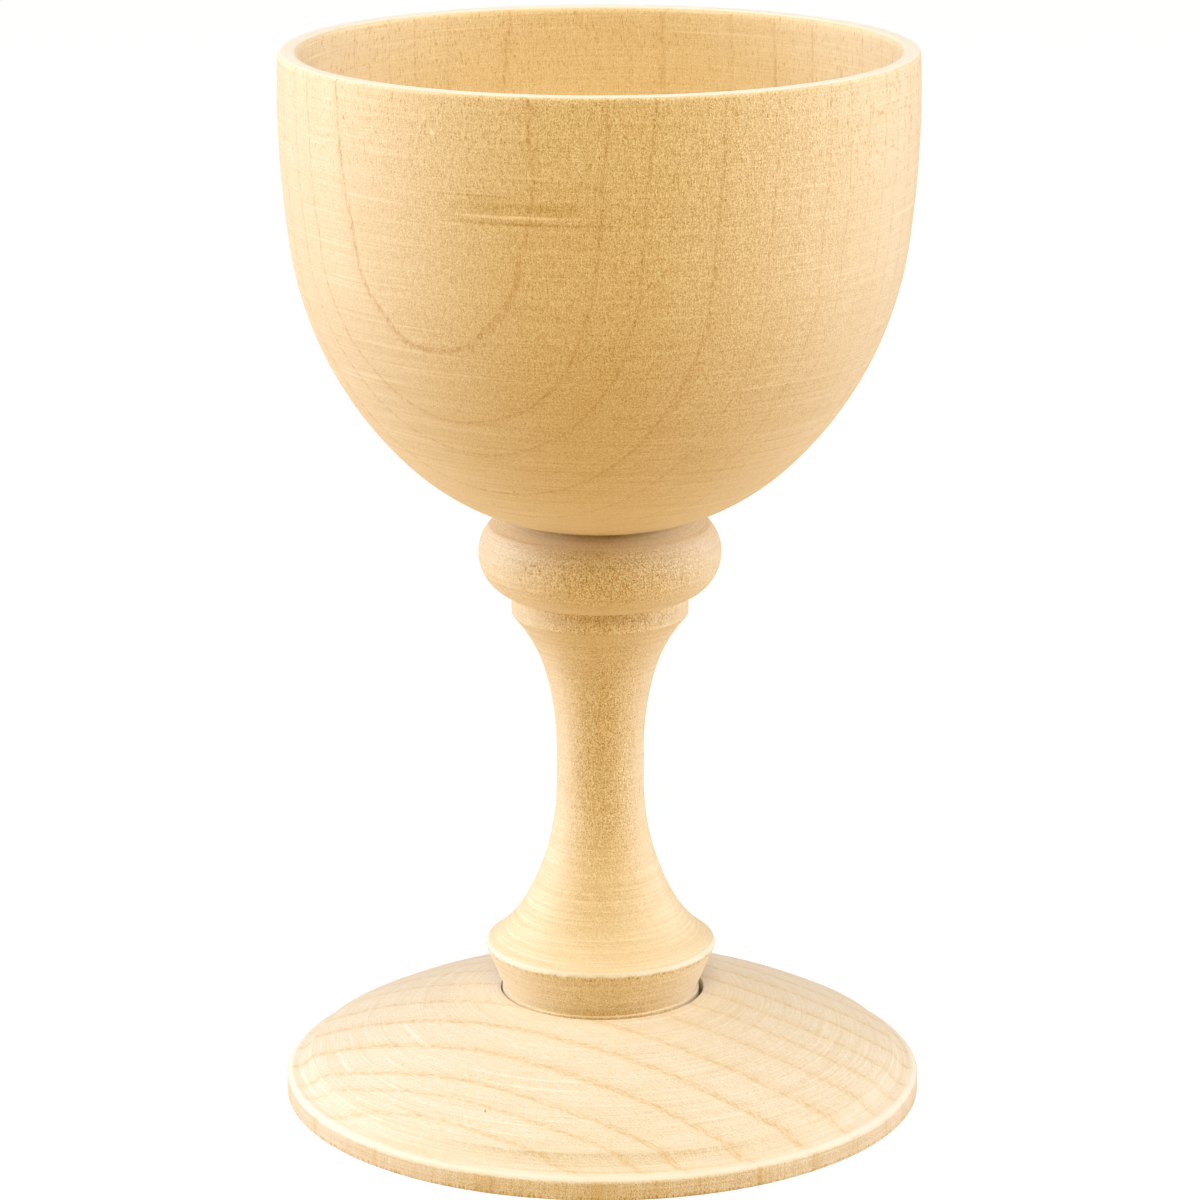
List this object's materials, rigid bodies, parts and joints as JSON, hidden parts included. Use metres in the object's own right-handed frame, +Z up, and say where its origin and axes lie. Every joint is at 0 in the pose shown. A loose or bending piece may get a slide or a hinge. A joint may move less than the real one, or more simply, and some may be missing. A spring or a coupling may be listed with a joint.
{
  "type": "wooden chalice",
  "caption": "Turned wooden chalice: a deep round cup on a waisted stem with a knop, standing on a low domed foot.",
  "frame": {"origin": "centre of the foot's underside", "axes": "+Z up along the axis of turning, -Y towards the front of the picture"},
  "size_m": [0.0818, 0.0818, 0.135],
  "materials": {
    "cup_wood": "bare pale maple, turned along the grain, fine tool marks",
    "foot_wood": "bare pale maple, flat-sawn disc turned across the grain"
  },
  "bodies": {
    "root": {"bowl_and_stem": "cup_wood", "foot": "foot_wood"}
  },
  "joints": []
}
